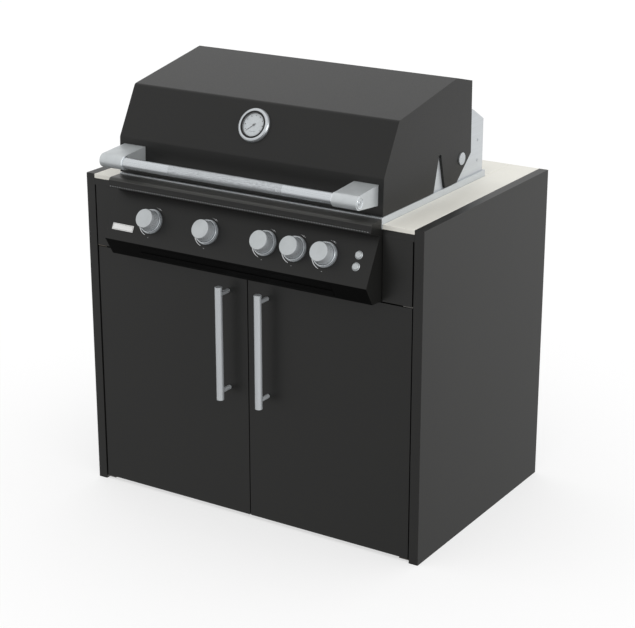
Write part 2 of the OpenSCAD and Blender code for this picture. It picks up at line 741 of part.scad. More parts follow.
module lid_handle_bar() placed() color(steel) difference() {
    rod_x(-bracket_x + 8, bracket_x - 8, lid_bar_y, lid_bar_z, lid_bar_d);
    rod_x(-bracket_x, bracket_x, lid_bar_y, lid_bar_z, lid_bar_d - 2 * lid_bar_t);
}

bracket_top = cab_h + 97.5;
bracket_low = cab_h + 44.5;

module lid_handle_brackets() placed() color(steel) both_sides() difference() {
    along_x(bracket_x - bracket_w, bracket_x) union() {
        translate([lid_bar_y, lid_bar_z]) circle(r = nose_r);
        polygon([[lid_face_y(bracket_top), bracket_top], [lid_bar_y + 1.5, lid_bar_z + nose_r],
            [lid_bar_y, lid_bar_z], [lid_bar_y - 1.8, lid_bar_z - nose_r + 0.1],
            [lid_face_y(bracket_low), bracket_low]]);
    }
    rod_x(bracket_x - bracket_w - through, bracket_x - 8, lid_bar_y, lid_bar_z, lid_bar_d);
}

// Y of the lid's lower front face at a height
function lid_face_y(z) = lid_path[0][0]
    + (lid_path[1][0] - lid_path[0][0]) * (z - lid_path[0][1]) / (lid_path[1][1] - lid_path[0][1]);

module thermometer_bezel() placed() color(steel) on_gauge() rotate_extrude($fn = 96)
    polygon([[lens_d / 2 - 3, 0], [gauge_d / 2, 0], [gauge_d / 2, gauge_h - 6],
        [gauge_d / 2 - 2, gauge_h - 2], [gauge_d / 2 - 5, gauge_h], [lens_d / 2, gauge_h - 1],
        [lens_d / 2, dial_z - 1], [lens_d / 2 - 3, dial_z - 1]]);

module thermometer_dial() placed() color(steel) on_gauge() difference() {
    union() {
        translate([0, 0, dial_z - 1]) cylinder(h = 1, d = lens_d);
        translate([0, 0, -16]) cylinder(h = 15 + dial_z, d = lens_d - 15);
        translate([0, 0, -90]) cylinder(h = 74, d = 7);
    }
    translate([0, 0, dial_z - 8]) cylinder(h = 20, d = 2 + 2 * run_fit);
}

module thermometer_needle() placed() color(black) on_gauge() rotate([0, 0, needle_turn]) {
    translate([0, 0, dial_z - 7]) cylinder(h = 10, d = 2);
    translate([0, 0, dial_z + 0.6]) cylinder(h = 1.2, d = 6);
    translate([0, 0, dial_z + 0.6]) linear_extrude(1) polygon([[-1.2, -6], [1.2, -6], [0.4, 26], [-0.4, 26]]);
}

module thermometer_glass() placed() color([0.8, 0.9, 0.95, 0.3]) on_gauge()
    translate([0, 0, dial_z + 3.6]) cylinder(h = 1.5, d = lens_d);

side_panel_left();
side_panel_right();
base_panel();
back_panel();
sub_top_boards();
filler_panel_left();
filler_panel_right();
door_rail();
worktop_left();
worktop_right();
worktop_rear();
levelling_feet();
door_pivots();
magnetic_catches();
door_left();
door_right();
door_handle_left();
door_handle_right();
firebox();
rim_frame();
control_panel();
heat_shield();
gas_manifold();
valve_bodies();
knob_bezels();
switch_block();
badge_plate();
tube_burners();
ignition_electrodes();
flame_tamers();
cooking_grates();
tray_runners();
drip_tray();
hood_cheeks();
rear_housing();
rear_burner();
rear_supply_pipe();
warming_rack();
lid_pivot_pins();
housing_screws();
knob_1();
knob_2();
knob_3();
knob_4();
knob_rear();
valve_plunger_1();
valve_plunger_2();
valve_plunger_3();
valve_plunger_4();
valve_plunger_rear();
ignition_button();
light_button();
lid_shell();
lid_liner();
lid_handle_bar();
lid_handle_brackets();
thermometer_bezel();
thermometer_dial();
thermometer_needle();
thermometer_glass();
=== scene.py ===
"""Looks of a gas barbecue that is built into a cabinet, laid out as an add-on and run as a script."""

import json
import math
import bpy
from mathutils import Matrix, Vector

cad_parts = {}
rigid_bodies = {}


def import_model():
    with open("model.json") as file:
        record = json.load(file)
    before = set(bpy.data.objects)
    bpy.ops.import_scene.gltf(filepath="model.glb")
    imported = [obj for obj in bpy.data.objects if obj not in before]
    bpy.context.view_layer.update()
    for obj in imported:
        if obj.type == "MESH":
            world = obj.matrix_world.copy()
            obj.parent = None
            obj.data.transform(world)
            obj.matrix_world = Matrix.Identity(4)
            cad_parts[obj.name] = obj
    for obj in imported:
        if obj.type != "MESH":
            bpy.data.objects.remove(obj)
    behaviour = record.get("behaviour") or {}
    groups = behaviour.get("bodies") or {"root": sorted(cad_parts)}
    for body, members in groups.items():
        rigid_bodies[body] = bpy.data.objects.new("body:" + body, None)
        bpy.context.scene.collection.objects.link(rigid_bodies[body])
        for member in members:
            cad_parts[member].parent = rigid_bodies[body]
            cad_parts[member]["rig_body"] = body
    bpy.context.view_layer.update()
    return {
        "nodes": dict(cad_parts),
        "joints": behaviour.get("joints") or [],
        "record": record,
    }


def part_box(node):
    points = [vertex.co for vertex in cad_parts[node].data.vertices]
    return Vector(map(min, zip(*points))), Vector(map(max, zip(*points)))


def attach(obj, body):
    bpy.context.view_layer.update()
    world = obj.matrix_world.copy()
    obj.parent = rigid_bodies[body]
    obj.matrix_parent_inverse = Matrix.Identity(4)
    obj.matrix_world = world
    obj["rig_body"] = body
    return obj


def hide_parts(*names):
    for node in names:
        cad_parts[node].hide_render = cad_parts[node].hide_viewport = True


bl_info = {
    "name": "Gas Barbecue",
    "version": (1, 0, 0),
    "blender": (4, 5, 0),
    "location": "View3D > Sidebar > Barbecue",
    "description": "Gives a gas barbecue and its cabinet their finishes, printed marks and small parts",
    "category": "Object",
}

import bmesh
import bpy
from bpy.props import FloatProperty, FloatVectorProperty, IntProperty, PointerProperty
from bpy.types import Operator, Panel, PropertyGroup
from mathutils import Matrix, Vector
from mathutils.bvhtree import BVHTree

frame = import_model()
NODES = frame["nodes"]
JOINTS = {joint["name"]: joint for joint in frame["joints"]}
MOUNTS = {mount["name"]: mount for mount in frame["record"]["mounts"]}
SLOTS = {part["node"]: part["material_slot"] for part in frame["record"]["subparts"]}
BODIES = {node: NODES[node]["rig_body"] for node in NODES}

MM = 0.001
FULL_TURN = 2 * math.pi
ACROSS = Vector((1, 0, 0))
KNOBS = ("1", "2", "3", "4", "rear")


# ------------------------ settings


def colour_setting(name, description, default):
    return FloatVectorProperty(
        name=name, description=description, subtype="COLOR", size=3, min=0, max=1, default=default
    )


def length_setting(name, description, default):
    return FloatProperty(
        name=name, description=description, unit="LENGTH", min=0, precision=5, default=default
    )


def level_setting(name, description, default):
    return FloatProperty(name=name, description=description, min=0, default=default)


class BarbecueFinishes(PropertyGroup):
    laminate: colour_setting("Laminate", "Colour of the boards and the doors", (0.0095, 0.0095, 0.0087))
    enamel: colour_setting("Enamel", "Colour of the lid and the control panel", (0.0082, 0.0082, 0.0076))
    # painted shade: this near-black colour on the panel's sloping underside and the drip tray's front stands
    # in for the shade that falls there
    undercut_painted_shade: colour_setting("Undercut", "Colour of the panel's sloping underside", (0.0025, 0.0025, 0.0025))
    # painted light: this lighter colour on the top of the panel's lip stands in for the light that falls on
    # it
    lip_top_painted_light: colour_setting("Lip top", "Colour of the top of the panel's lip", (0.055, 0.055, 0.052))
    stone: colour_setting("Stone", "Colour of the worktop", (0.80, 0.785, 0.72))
    stainless: colour_setting("Stainless steel", "Colour of the brushed steel", (0.54, 0.565, 0.585))
    casting: colour_setting("Casting", "Colour of the knobs and the handle brackets", (0.49, 0.515, 0.525))
    sooted: colour_setting("Sooted steel", "Colour of the steel round the fire", (0.20, 0.19, 0.18))
    iron: colour_setting("Cast iron", "Colour of the grates", (0.022, 0.022, 0.022))
    brass: colour_setting("Brass", "Colour of the gas fittings", (0.56, 0.40, 0.15))
    ceramic: colour_setting("Ceramic", "Colour of the rear burner's tiles", (0.78, 0.72, 0.60))
    plastic: colour_setting("Plastic", "Colour of the feet and the switch block", (0.014, 0.014, 0.015))
    print_ink: colour_setting("Print", "Colour of the marks round the knobs", (0.62, 0.63, 0.64))
    dial: colour_setting("Dial", "Colour of the thermometer's dial", (0.52, 0.55, 0.57))
    badge: colour_setting("Badge", "Colour of the blank badge", (0.80, 0.80, 0.79))


class BarbecueSizes(PropertyGroup):
    board_edge: length_setting("Board edge", "Rounding of the boards' edges", 0.7 * MM)
    stone_edge: length_setting("Stone edge", "Rounding of the worktop's edges", 1.0 * MM)
    sheet_edge: length_setting("Sheet edge", "Rounding of the folded sheets' edges", 0.5 * MM)
    casting_edge: length_setting("Casting edge", "Rounding of the handle brackets", 2.2 * MM)
    hole_pitch: length_setting("Perforation pitch", "Distance between the holes under the lip", 7.7 * MM)
    hole_row: length_setting("Perforation row", "Distance of the holes above the knobs' row", 67 * MM)
    hole_size: length_setting("Perforation size", "Diameter of the holes under the lip", 3.4 * MM)
    grip_length: length_setting("Grip length", "Length of the knurled middle of the lid handle", 352 * MM)
    bracket_width: length_setting("Bracket width", "Width of a handle bracket", 69.5 * MM)
    grip_pitch: length_setting("Knurl pitch", "Distance between the knurl's grooves", 4.4 * MM)
    grip_depth: length_setting("Knurl depth", "Depth of the knurl's grooves", 0.45 * MM)
    arc_radius: length_setting("Arc radius", "Radius of the printed arc round a knob", 39 * MM)
    grip_steps: IntProperty(name="Grip steps", description="Faces round the handle bar", min=24, default=120)


class BarbecueStage(PropertyGroup):
    floor: colour_setting("Floor", "Colour of the floor", (0.44, 0.44, 0.44))
    floor_glow: level_setting("Floor glow", "Light that lifts the floor's shadows", 0.60)
    sky_top: level_setting("Sky above", "Brightness overhead", 1.0)
    sky_side: level_setting("Sky at the horizon", "Brightness at the horizon", 0.90)
    sky_low: level_setting("Sky below", "Brightness from below", 0.15)
    key_power: level_setting("Key light", "Power of the light on the right", 190)
    lens: FloatProperty(name="Lens", description="Focal length of the camera", unit="CAMERA", default=102.51)
    camera_at: FloatVectorProperty(
        name="Camera",
        description="Place of the camera",
        subtype="TRANSLATION",
        default=(2.543, -3.970, 2.165),
    )
    camera_turn: FloatVectorProperty(
        name="Camera turn",
        description="Rotation of the camera",
        subtype="EULER",
        default=(math.radians(70.59), 0.0, math.radians(32.32)),
    )


def finishes():
    return bpy.context.scene.barbecue_finishes


def sizes():
    return bpy.context.scene.barbecue_sizes


# ------------------------ material nodes


def add(tree, kind, inputs=None, **settings):
    node = tree.nodes.new(kind)
    for key, value in settings.items():
        setattr(node, key, value)
    for key, value in (inputs or {}).items():
        if isinstance(value, bpy.types.NodeSocket):
            tree.links.new(value, node.inputs[key])
        else:
            node.inputs[key].default_value = value
    return node


def new_finish(name, colour, metallic, roughness, **sockets):
    """A Principled material and its tree, with the even values on the shader's own sockets."""
    material = bpy.data.materials.new(name)
    material.use_nodes = True
    tree = material.node_tree
    shader = next(node for node in tree.nodes if node.type == "BSDF_PRINCIPLED")
    values = {"Base Color": (*colour, 1), "Metallic": metallic, "Roughness": roughness}
    values.update({key.replace("_", " "): value for key, value in sockets.items()})
    for key, value in values.items():
        shader.inputs[key].default_value = value
    return tree, shader


def place(tree, stretch=(1, 1, 1)):
    coords = tree.nodes.new("ShaderNodeTexCoord")
    return add(
        tree, "ShaderNodeMapping", {"Vector": coords.outputs["Object"], "Scale": stretch}
    ).outputs["Vector"]


def noise(tree, vector, scale, detail=2.0, rough=0.5):
    return add(
        tree,
        "ShaderNodeTexNoise",
        {"Vector": vector, "Scale": scale, "Detail": detail, "Roughness": rough},
    ).outputs["Fac"]


def ranged(tree, value, low=0.35, high=0.65, out_low=0, out_high=1):
    return add(
        tree,
        "ShaderNodeMapRange",
        {"Value": value, "From Min": low, "From Max": high, "To Min": out_low, "To Max": out_high},
    ).outputs["Result"]


def math_node(tree, operation, *values):
    node = tree.nodes.new("ShaderNodeMath")
    node.operation = operation
    for socket, value in zip(node.inputs, values):
        if isinstance(value, bpy.types.NodeSocket):
            tree.links.new(value, socket)
        else:
            socket.default_value = value
    return node.outputs[0]


def weighed(tree, first, second, share):
    """The first value's share and the rest of the second."""
    parts = (first, share), (second, 1 - share)
    return math_node(tree, "ADD", *(math_node(tree, "MULTIPLY", *part) for part in parts))


def shade(colour, factor):
    return tuple(min(1.0, part * factor) for part in colour)


def mixed(tree, factor, first, second):
    node = add(tree, "ShaderNodeMix", data_type="RGBA")
    for key, value in (("Factor", factor), ("A", first), ("B", second)):
        socket = next(s for s in node.inputs if s.name == key and s.enabled)
        if isinstance(value, bpy.types.NodeSocket):
            tree.links.new(value, socket)
        else:
            socket.default_value = value if key == "Factor" else (*value, 1)
    return next(s for s in node.outputs if s.enabled)


def tinted(tree, shader, factor, first, second):
    tree.links.new(mixed(tree, factor, first, second), shader.inputs["Base Color"])


def roughened(tree, shader, value, low, high):
    tree.links.new(ranged(tree, value, 0.25, 0.75, low, high), shader.inputs["Roughness"])


def bumped(tree, shader, height, strength, distance):
    node = add(tree, "ShaderNodeBump", {"Height": height, "Strength": strength, "Distance": distance})
    tree.links.new(node.outputs["Normal"], shader.inputs["Normal"])


# ------------------------ finishes


def make_laminate(name, colour):
    """Matt laminate with a fine sandy grain and slow, faint clouding."""
    tree, shader = new_finish(name, colour, 0.0, 0.42, Specular_IOR_Level=0.41)
    at = place(tree)
    grain = noise(tree, at, 900, 3.0, 0.65)
    cloud = noise(tree, at, 2.2, 3.0)
    both = weighed(tree, grain, cloud, 0.6)
    tinted(tree, shader, ranged(tree, both), shade(colour, 0.86), shade(colour, 1.14))
    roughened(tree, shader, grain, 0.36, 0.48)
    bumped(tree, shader, grain, 0.18, 0.12 * MM)


def make_stone(name, colour):
    """Honed composite stone: cream, with a close fleck and a very slow cloud."""
    tree, shader = new_finish(name, colour, 0.0, 0.5, Specular_IOR_Level=0.35)
    at = place(tree)
    cloud = noise(tree, at, 6, 4.0)
    fleck = noise(tree, at, 520, 2.0, 0.7)
    body = mixed(tree, ranged(tree, cloud), shade(colour, 0.97), shade(colour, 1.02))
    specks = ranged(tree, fleck, 0.62, 0.74, 0, 0.35)
    tree.links.new(mixed(tree, specks, body, shade(colour, 0.62)), shader.inputs["Base Color"])
    roughened(tree, shader, fleck, 0.42, 0.58)
    bumped(tree, shader, fleck, 0.12, 0.1 * MM)


def make_enamel(name, colour, gloss=0.32):
    """Powder-baked enamel with a slight orange peel."""
    tree, shader = new_finish(name, colour, 0.0, 0.38, Specular_IOR_Level=gloss)
    at = place(tree)
    peel = noise(tree, at, 420, 2.0)
    cloud = noise(tree, at, 3.0, 2.0)
    tinted(tree, shader, ranged(tree, cloud), shade(colour, 0.94), shade(colour, 1.06))
    roughened(tree, shader, peel, 0.33, 0.43)
    bumped(tree, shader, peel, 0.10, 0.12 * MM)


def make_brushed(name, colour, stretch, low=0.30, high=0.44, metallic=0.45):
    """Steel with brush lines along the direction whose stretch is small."""
    tree, shader = new_finish(name, colour, metallic, 0.36)
    lines = noise(tree, place(tree, stretch), 1.0, 3.0, 0.6)
    smear = noise(tree, place(tree), 14, 2.0)
    tinted(tree, shader, ranged(tree, lines, 0.3, 0.7, 0, 1), shade(colour, 0.93), shade(colour, 1.06))
    roughened(tree, shader, weighed(tree, lines, smear, 0.7), low, high)
    bumped(tree, shader, lines, 0.10, 0.05 * MM)


def make_knurled(name, colour, pitch):
    """Steel with small lands and duller, rougher pits between them; the lands carry a painted highlight and
    the pits painted shade.
    """
    tree, shader = new_finish(name, colour, 0.85, 0.34)
    cells = add(
        tree, "ShaderNodeTexVoronoi", {"Vector": place(tree), "Scale": 1 / pitch, "Randomness": 0.75}
    ).outputs["Distance"]
    lands = ranged(tree, cells, 0.30, 0.62, 1, 0)
    # painted highlight on the lands and painted shade in the pits
    tinted(tree, shader, lands, shade(colour, 0.68), shade(colour, 1.3))
    roughened(tree, shader, lands, 0.5, 0.26)
    bumped(tree, shader, lands, 0.45, 0.3 * MM)


def make_casting(name, colour, metallic=0.35):
    """Fine bead-blasted aluminium."""
    tree, shader = new_finish(name, colour, metallic, 0.42)
    grain = noise(tree, place(tree), 1500, 2.0)
    cloud = noise(tree, place(tree), 30, 2.0)
    tinted(tree, shader, ranged(tree, cloud), shade(colour, 0.96), shade(colour, 1.04))
    roughened(tree, shader, grain, 0.36, 0.48)
    bumped(tree, shader, grain, 0.12, 0.05 * MM)


def make_sooted(name, colour):
    """Steel that the fire has darkened and tinted in patches."""
    tree, shader = new_finish(name, colour, 0.7, 0.5)
    patches = noise(tree, place(tree), 8, 5.0, 0.6)
    tint = mixed(tree, ranged(tree, patches, 0.40, 0.60, 0, 1), shade(colour, 0.45), colour)
    straw = noise(tree, place(tree), 3.5, 3.0)
    tree.links.new(
        mixed(tree, ranged(tree, straw, 0.52, 0.72, 0, 0.35), tint, (0.24, 0.17, 0.09)),
        shader.inputs["Base Color"],
    )
    roughened(tree, shader, patches, 0.40, 0.68)
    bumped(tree, shader, noise(tree, place(tree), 300, 3.0), 0.10, 0.1 * MM)


def make_iron(name, colour):
    """Matt enamelled cast iron with a sand-cast skin."""
    tree, shader = new_finish(name, colour, 0.2, 0.6)
    skin = noise(tree, place(tree), 380, 4.0, 0.6)
    tinted(tree, shader, ranged(tree, skin, 0.3, 0.7, 0, 1), shade(colour, 0.7), shade(colour, 1.7))
    roughened(tree, shader, skin, 0.5, 0.75)
    bumped(tree, shader, skin, 0.35, 0.3 * MM)


def make_brass(name, colour):
    """Brass with a darker film in patches."""
    tree, shader = new_finish(name, colour, 1.0, 0.34)
    film = noise(tree, place(tree), 60, 4.0)
    tinted(tree, shader, ranged(tree, film), shade(colour, 0.7), shade(colour, 1.05))
    roughened(tree, shader, film, 0.28, 0.5)


def make_ceramic(name, colour):
    """Burner tile with rows of small flame ports, whose dark colour is painted shade."""
    tree, shader = new_finish(name, colour, 0.0, 0.7)
    cells = add(
        tree, "ShaderNodeTexVoronoi", {"Vector": place(tree, (1, 0.2, 1)), "Scale": 260, "Randomness": 0.12}
    ).outputs["Distance"]
    holes = ranged(tree, cells, 0.18, 0.30, 0, 1)
    body = noise(tree, place(tree), 40, 3.0)
    tile = mixed(tree, ranged(tree, body), shade(colour, 0.82), colour)
    # painted shade: the ports are coloured near-black for the shade inside them
    tree.links.new(mixed(tree, holes, (0.05, 0.045, 0.04), tile), shader.inputs["Base Color"])
    bumped(tree, shader, holes, 0.6, 0.8 * MM)


def make_plastic(name, colour, roughness=0.5):
    """Plastic or print with a very fine grain."""
    tree, shader = new_finish(name, colour, 0.0, roughness)
    grain = noise(tree, place(tree), 1100, 2.0)
    tinted(tree, shader, grain, shade(colour, 0.85), shade(colour, 1.2))
    roughened(tree, shader, grain, roughness - 0.06, roughness + 0.06)
    bumped(tree, shader, grain, 0.12, 0.05 * MM)


def make_glass(name):
    """Clear, thin glass with faint smears."""
    tree, shader = new_finish(name, (0.9, 0.93, 0.94), 0.0, 0.06, Alpha=0.10)
    smears = noise(tree, place(tree), 45, 3.0)
    roughened(tree, shader, smears, 0.03, 0.12)
    bpy.data.materials[name].surface_render_method = "BLENDED"


# ------------------------ bmesh helpers


def frame_at(point, normal, across=ACROSS):
    """Matrix whose Z is the normal, whose X lies across and whose Y points up the face."""
    z = Vector(normal).normalized()
    y = z.cross(across).normalized()
    x = y.cross(z)
    turn = Matrix((x, y, z)).transposed().to_4x4()
    return Matrix.Translation(Vector(point)) @ turn


def along(direction, point):
    """Matrix whose Z runs along a direction from a point."""
    return Matrix.Translation(point) @ Vector(direction).to_track_quat("Z", "Y").to_matrix().to_4x4()


def outline(radius, *pairs):
    """Profile points given in millimetres, as steps out from a radius and heights."""
    return [(radius + out * MM, height * MM) for out, height in pairs]


def lathe(bm, profile, steps, matrix):
    """Spins a profile of (radius, height) pairs once round Z; a radius of 0 closes the end."""
    verts = [bm.verts.new((radius, 0, height)) for radius, height in profile]
    edges = [bm.edges.new(pair) for pair in zip(verts, verts[1:])]
    bmesh.ops.spin(
        bm,
        geom=verts + edges,
        cent=(0, 0, 0),
        axis=(0, 0, 1),
        dvec=(0, 0, 0),
        angle=FULL_TURN,
        steps=steps,
        use_merge=True,
    )
    made = reached(verts)
    bmesh.ops.remove_doubles(bm, verts=made, dist=1e-6)
    made = [v for v in made if v.is_valid]
    bmesh.ops.recalc_face_normals(bm, faces=faces_of(made))
    bmesh.ops.transform(bm, matrix=matrix, verts=made)
    return made


def bevelled(bm, edges, width, segments):
    return bmesh.ops.bevel(
        bm,
        geom=edges,
        offset=width,
        offset_type="OFFSET",
        segments=segments,
        profile=0.5,
        affect="EDGES",
        clamp_overlap=True,
        material=-1,
    )["verts"]


def column(bm, radius, height, matrix, steps):
    return bmesh.ops.create_cone(
        bm, cap_ends=True, segments=steps, radius1=radius, radius2=radius, depth=height, matrix=matrix
    )["verts"]


def reached(start):
    """Every vertex joined to the given ones by edges."""
    found, todo = set(start), list(start)
    while todo:
        for edge in todo.pop().link_edges:
            for vert in edge.verts:
                if vert not in found:
                    found.add(vert)
                    todo.append(vert)
    return list(found)


def faces_of(verts):
    chosen = set(verts)
    return [face for face in {f for v in verts for f in v.link_faces} if all(v in chosen for v in face.verts)]


def block(bm, size, matrix, radius=0.0, segments=2):
    """A box about the matrix's origin with rounded edges."""
    made = bmesh.ops.create_cube(bm, size=1.0, matrix=matrix @ Matrix.Diagonal((*size, 1)))["verts"]
    if radius:
        edges = {edge for vert in made for edge in vert.link_edges}
        made = bevelled(bm, list(edges), radius, segments)
    return made


def rod(bm, start, end, radius, steps):
    start, end = Vector(start), Vector(end)
    return column(bm, radius, (end - start).length, along(end - start, (start + end) / 2), steps)


def ring_strip(bm, inner, outer, thickness, matrix, start=0.0, sweep=FULL_TURN, steps=48, taper=1.0):
    """A flat arc, counter-clockwise from start, where Y is 0; its end has the taper's share of its width."""
    near = bm.verts.new((-inner * math.sin(start), inner * math.cos(start), 0))
    far = bm.verts.new((-outer * math.sin(start), outer * math.cos(start), 0))
    edge = bm.edges.new((near, far))
    whole = abs(sweep - FULL_TURN) < 1e-6
    bmesh.ops.spin(
        bm,
        geom=[near, far, edge],
        cent=(0, 0, 0),
        axis=(0, 0, 1),
        dvec=(0, 0, 0),
        angle=sweep,
        steps=steps,
        use_merge=whole,
    )
    made = reached([near])
    bmesh.ops.remove_doubles(bm, verts=made, dist=1e-6)
    made = [v for v in made if v.is_valid]
    middle = (inner + outer) / 2
    if taper < 1:
        for vert in made:
            turn = (math.atan2(-vert.co.x, vert.co.y) - start) % FULL_TURN
            share = 1 - (1 - taper) * min(1.0, turn / sweep)
            radius = vert.co.to_2d().length
            scale = (middle + (radius - middle) * share) / radius
            vert.co.x *= scale
            vert.co.y *= scale
    faces = faces_of(made)
    raised = bmesh.ops.extrude_face_region(bm, geom=faces)
    top = [item for item in raised["geom"] if isinstance(item, bmesh.types.BMVert)]
    bmesh.ops.translate(bm, vec=(0, 0, thickness), verts=top)
    made = reached([v for v in made if v.is_valid])
    bmesh.ops.recalc_face_normals(bm, faces=faces_of(made))
    bmesh.ops.transform(bm, matrix=matrix, verts=made)
    return made


def disc(bm, radius, thickness, matrix, steps=24):
    return column(bm, radius, thickness, matrix @ Matrix.Translation((0, 0, thickness / 2)), steps)


def chamfer(bm, verts, width):
    """Cuts the sharp edges of a short solid."""
    edges = [e for e in {e for v in verts for e in v.link_edges} if e.calc_face_angle(0) > math.radians(62)]
    bevelled(bm, edges, width, 1)


def screw_head(bm, lay, radius):
    """A domed screw head with a hexagonal socket."""
    return lathe(
        bm,
        [(0, 0.15 * radius), (0.42 * radius, 0.15 * radius), (0.46 * radius, 0.55 * radius),
         (0.75 * radius, 0.45 * radius), (radius, 0.1 * radius), (radius, -0.1 * radius), (0, -0.1 * radius)],
        18,
        lay,
    )


def paint(verts, index):
    for face in faces_of(verts):
        face.material_index = index


def piece(bm, name, finish_names, body, replaces=None, smooth_angle=None):
    """Turns a bmesh into a named object that rides on a body and takes its finishes in order."""
    mesh = bpy.data.meshes.new(name)
    if smooth_angle is not None:
        for face in bm.faces:
            face.smooth = True
    bm.to_mesh(mesh)
    bm.free()
    if smooth_angle is not None:
        mesh.set_sharp_from_angle(angle=math.radians(smooth_angle))
    made = bpy.data.objects.new(name, mesh)
    bpy.context.scene.collection.objects.link(made)
    for finish_name in finish_names if isinstance(finish_names, (list, tuple)) else [finish_names]:
        mesh.materials.append(bpy.data.materials[finish_name])
    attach(made, body)
    if replaces:
        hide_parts(replaces)
    return made


def eased(node, finish_name, radius, segments=2, smooth_angle=None, sharp=25, others=(), choose=None):
    """Replaces a CAD node with a copy whose sharp edges are rounded; choose gives each face its finish."""
    bm = bmesh.new()
    bm.from_mesh(NODES[node].data)
    bmesh.ops.remove_doubles(bm, verts=bm.verts, dist=2e-6)
    bmesh.ops.dissolve_limit(
        bm,
        angle_limit=math.radians(0.3),
        use_dissolve_boundaries=False,
        verts=bm.verts,
        edges=bm.edges,
        delimit=set(),
    )
    edges = [e for e in bm.edges if e.is_manifold and e.calc_face_angle(0) > math.radians(sharp)]
    bevelled(bm, edges, radius, segments)
    if choose:
        bm.normal_update()
        for face in bm.faces:
            face.material_index = choose(face.normal, face.calc_center_median())
    finish_names = [finish_name, *others]
    made = piece(bm, node + "_eased", finish_names, BODIES[node], node, smooth_angle)
    if smooth_angle is not None:
        evened = made.modifiers.new("even_normals", "WEIGHTED_NORMAL")
        evened.keep_sharp = True
        evened.weight = 100
    return made


def dress(node, finish_name):
    """Gives a CAD node's own object a finish."""
    shown = NODES[node]
    if not shown.material_slots:
        shown.data.materials.append(None)
    for material_slot in shown.material_slots:
        material_slot.material = bpy.data.materials[finish_name]


def shifted(matrix, x, y, z=0.0):
    return matrix @ Matrix.Translation((x, y, z))


def knob_frame(which):
    """Local frame of a knob on the control face: X across, Y up the face, Z outwards."""
    joint = JOINTS[f"knob_{which}_turn"]
    return frame_at(joint["pos_m"], joint["axis"])


def gauge_frame():
    """Local frame of the thermometer: X across, Y up the lid, Z outwards."""
    joint = JOINTS["needle_turn"]
    return frame_at(joint["pos_m"], -Vector(joint["axis"]))


# ------------------------ operators


class BARBECUE_OT_finishes(Operator):
    """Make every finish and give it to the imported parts"""

    bl_idname = "barbecue.finishes"
    bl_label = "Finishes"

    def execute(self, context):
        look = finishes()
        make_laminate("charcoal_laminate", look.laminate)
        make_stone("cream_stone", look.stone)
        make_enamel("charcoal_enamel", look.enamel)
        make_brushed("steel_brushed_across", look.stainless, (6, 700, 700))
        make_brushed("steel_brushed_upright", look.stainless, (700, 700, 6))
        make_brushed("steel_brushed_deep", look.stainless, (700, 6, 700))
        make_brushed("steel_turned", shade(look.stainless, 1.05), (420, 420, 420), 0.24, 0.36, 0.8)
        make_brushed("steel_tube", shade(look.stainless, 1.1), (6, 700, 700), 0.22, 0.34, 0.9)
        make_brushed("steel_polished", shade(look.stainless, 1.5), (420, 420, 420), 0.14, 0.24, 0.8)
        make_knurled("knurled_steel", look.stainless, 2.2 * MM)
        make_casting("blasted_aluminium", look.casting)
        make_casting("bracket_aluminium", shade(look.casting, 1.12), 0.6)
        make_brushed("knob_aluminium", shade(look.stainless, 1.2), (420, 420, 420), 0.24, 0.34, 0.55)
        # painted shade for the panel's sloping underside and the drip tray's front
        make_enamel("black_enamel", look.undercut_painted_shade, 0.06)
        # painted light on the top of the panel's lip
        make_enamel("lip_enamel", look.lip_top_painted_light)
        make_sooted("sooted_steel", look.sooted)
        make_sooted("burner_steel", shade(look.sooted, 1.9))
        make_iron("enamelled_iron", look.iron)
        make_brass("gas_brass", look.brass)
        make_ceramic("burner_tile", look.ceramic)
        make_plastic("moulded_plastic", look.plastic)
        # painted shade: this near-black stands in for the shade in holes, ports, slots and vents; on the
        # glass gasket it is the gasket's own black
        make_plastic("black_recess", (0.004, 0.004, 0.004), 0.8)
        make_plastic("white_print", look.print_ink)
        # painted highlight: light dots between the perforations stand in for glints
        make_plastic("hole_edge", (0.5, 0.51, 0.52), 0.4)
        make_plastic("dial_face", look.dial, 0.4)
        make_plastic("badge_white", look.badge, 0.35)
        make_plastic("electrode_white", shade(look.ceramic, 1.1), 0.3)
        make_plastic("needle_black", (0.012, 0.012, 0.013), 0.35)
        make_glass("clear_glass")
        own = {
            "grey_laminate": "charcoal_laminate",
            "stone_top": "cream_stone",
            "dark_enamel": "charcoal_enamel",
            "stainless": "steel_brushed_across",
            "dark_steel": "sooted_steel",
            "satin_aluminium": "blasted_aluminium",
            "black_iron": "enamelled_iron",
            "brass_parts": "gas_brass",
            "white_ceramic": "burner_tile",
            "black_plastic": "moulded_plastic",
            "gauge_glass": "clear_glass",
        }
        special = {
            "tube_burners": "burner_steel",
            "flame_tamers": "burner_steel",
            "ignition_electrodes": "electrode_white",
            "thermometer_needle": "needle_black",
            "thermometer_bezel": "steel_turned",
            "knob_bezels": "steel_turned",
            "lid_pivot_pins": "steel_turned",
            "housing_screws": "steel_turned",
            "ignition_button": "blasted_aluminium",
            "light_button": "blasted_aluminium",
            "badge_plate": "badge_white",
        }
        for node in NODES:
            dress(node, special.get(node, own[SLOTS[node]]))
        return {"FINISHED"}


class BARBECUE_OT_boards(Operator):
    """Round the edges of the boards, the doors and the stone"""

    bl_idname = "barbecue.boards"
    bl_label = "Boards and stone"

    def execute(self, context):
        size = sizes()
        for node in (
            "side_panel_left",
            "side_panel_right",
            "door_left",
            "door_right",
            "filler_panel_left",
            "filler_panel_right",
            "back_panel",
        ):
            eased(node, "charcoal_laminate", size.board_edge)
        for node in ("worktop_left", "worktop_right", "worktop_rear"):
            eased(node, "cream_stone", size.stone_edge)
        return {"FINISHED"}


